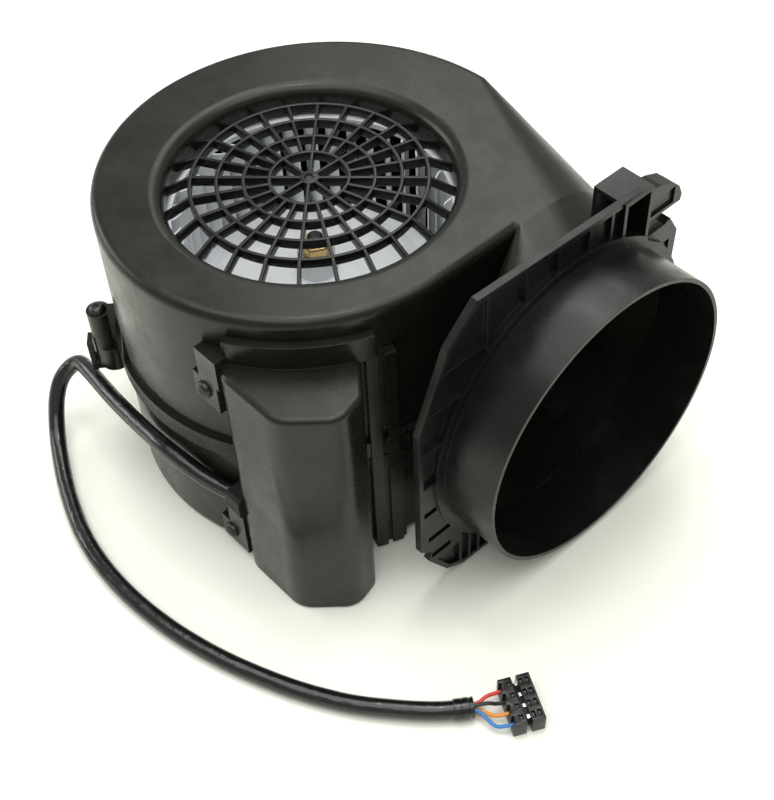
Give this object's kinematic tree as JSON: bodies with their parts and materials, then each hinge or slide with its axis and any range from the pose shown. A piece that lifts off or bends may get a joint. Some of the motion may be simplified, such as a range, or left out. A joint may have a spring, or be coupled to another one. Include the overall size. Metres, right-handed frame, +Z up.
{
  "type": "cooker hood extractor fan",
  "caption": "Double-inlet centrifugal blower in a black scroll housing with an inlet grille, a clip-on round duct outlet, a side terminal box and a plug-in lead.",
  "frame": {"origin": "on the fan's axis, in the plane of the lower end face that the fan stands on", "axes": "+Z up along the fan's axis towards the inlet grille, +X along the outlet duct, +Y towards the back of the scroll"},
  "size_m": [0.3232, 0.2726, 0.175],
  "materials": {
    "housing_plastic": "satin",
    "impeller_plastic": "satin",
    "grommet_rubber": "matte",
    "capacitor_case": "gloss",
    "terminal_plastic": "satin",
    "motor_metal": "satin",
    "laminations": "satin",
    "copper_windings": "gloss",
    "bearing_steel": "polished",
    "screw_steel": "satin",
    "shaft_steel": "polished",
    "nut_brass": "satin",
    "cable_sleeve": "satin",
    "tie_plastic": "satin",
    "wire_red": "satin",
    "wire_black": "satin",
    "wire_orange": "satin",
    "wire_blue": "satin",
    "connector_plastic": "satin",
    "contact_tin": "polished"
  },
  "bodies": {
    "housing": {"cable": "cable_sleeve", "cable_grommet": "grommet_rubber", "cable_tie": "tie_plastic", "capacitor": "capacitor_case", "carrier_arms": "housing_plastic", "carrier_ring": "housing_plastic", "connector_contacts": "contact_tin", "connector_plug": "connector_plastic", "connector_socket": "connector_plastic", "cover_screws": "screw_steel", "inlet_grille": "housing_plastic", "lower_bearing": "bearing_steel", "lower_shell": "housing_plastic", "motor_lower_shield": "motor_metal", "motor_screws": "screw_steel", "motor_upper_shield": "motor_metal", "outlet_flange": "housing_plastic", "rubber_mounts": "grommet_rubber", "seam_screws": "screw_steel", "stator_core": "laminations", "stator_windings": "copper_windings", "terminal_block": "terminal_plastic", "terminal_cover": "housing_plastic", "upper_bearing": "bearing_steel", "upper_shell": "housing_plastic", "wire_black": "wire_black", "wire_blue": "wire_blue", "wire_orange": "wire_orange", "wire_red": "wire_red"},
    "rotor": {"impeller_disc": "impeller_plastic", "impeller_rings": "impeller_plastic", "impeller_blades": "impeller_plastic", "motor_shaft": "shaft_steel", "rotor_core": "laminations", "washer": "screw_steel", "brass_nut": "nut_brass"}
  },
  "joints": [
    {"name": "fan_spin", "type": "hinge", "parent": "housing", "child": "rotor", "pos_m": [0, 0, 0.05], "axis": [0, 0, 1], "continuous": true}
  ]
}
